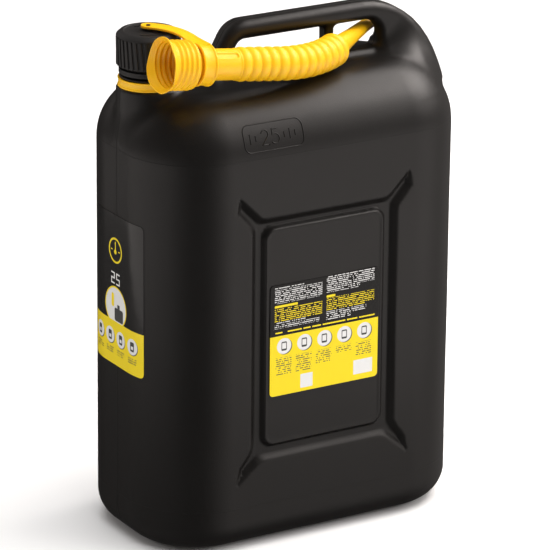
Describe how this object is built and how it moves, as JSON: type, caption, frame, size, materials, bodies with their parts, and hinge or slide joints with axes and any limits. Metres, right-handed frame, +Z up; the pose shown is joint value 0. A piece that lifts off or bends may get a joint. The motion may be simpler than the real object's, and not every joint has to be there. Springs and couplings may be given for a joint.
{
  "type": "plastic fuel can with spout",
  "caption": "Upright blow-moulded plastic fuel can with an integral carry handle, a screw cap on a tether and a stowed flexible pouring spout.",
  "frame": {"origin": "centre of the footprint, on the surface that the can stands on", "axes": "+X along the width from the neck towards the handle's sweep, +Y from the labelled pressed panel to the back, +Z up"},
  "size_m": [0.3574, 0.1954, 0.5292],
  "materials": {
    "can_plastic": "satin blow-moulded polyethylene, fine mould grain",
    "cap_plastic": "moulded polypropylene, matt",
    "spout_plastic": "soft glossy polyethylene, yellow",
    "liner_foam": "white foamed sealing liner",
    "label_film": "printed gloss film, black and yellow"
  },
  "bodies": {
    "can": {"can_body": "can_plastic", "tether_strap": "spout_plastic", "side_label": "label_film", "panel_label": "label_film"},
    "neck_loop": {"neck_ring": "spout_plastic"},
    "liner": {"cap_seal": "liner_foam"},
    "cap_core": {"cap_inner": "cap_plastic"},
    "cap_shell": {"cap_outer": "cap_plastic"},
    "swivel_pin": {"tether_button": "spout_plastic"},
    "spout": {"spout_socket": "spout_plastic", "spout_bellows": "spout_plastic"},
    "nozzle": {"spout_nozzle": "spout_plastic"}
  },
  "joints": [
    {"name": "ring_turn", "type": "hinge", "parent": "can", "child": "neck_loop", "pos_m": [-0.143, 0, 0.468], "axis": [0, 0, 1], "continuous": true},
    {"name": "cap_lift", "type": "slide", "parent": "can", "child": "liner", "axis": [0, 0, 1], "range_m": [0, 0.011], "deforming": ["tether_strap"]},
    {"name": "cap_turn", "type": "hinge", "parent": "liner", "child": "cap_core", "pos_m": [-0.143, 0, 0.5], "axis": [0, 0, 1], "range_deg": [0, 720]},
    {"name": "cap_push", "type": "slide", "parent": "cap_core", "child": "cap_shell", "axis": [0, 0, -1], "range_m": [0, 0.0025], "stiffness_N_per_m": 3000, "springref_m": -0.0005},
    {"name": "tether_swivel", "type": "hinge", "parent": "cap_shell", "child": "swivel_pin", "pos_m": [-0.143, 0, 0.52], "axis": [0, 0, 1], "range_deg": [-720, 0]},
    {"name": "spout_draw", "type": "slide", "parent": "can", "child": "spout", "axis": [-0.9914, 0, 0.1305], "range_m": [0, 0.142], "deforming": ["spout_bellows"]},
    {"name": "spout_flex", "type": "hinge", "parent": "spout", "child": "nozzle", "pos_m": [0.01001, -0.06, 0.47822], "axis": [0.1267, -0.2402, 0.9624], "range_deg": [-37.23, 0], "deforming": ["spout_bellows"]}
  ],
  "couplings": [
    {"joint": "cap_lift", "follows": "cap_turn", "m_per_rad": 0.00087535},
    {"joint": "tether_swivel", "follows": "cap_turn", "ratio": -1},
    {"joint": "spout_flex", "follows": "spout_draw", "rad_per_m": -4.5755}
  ]
}
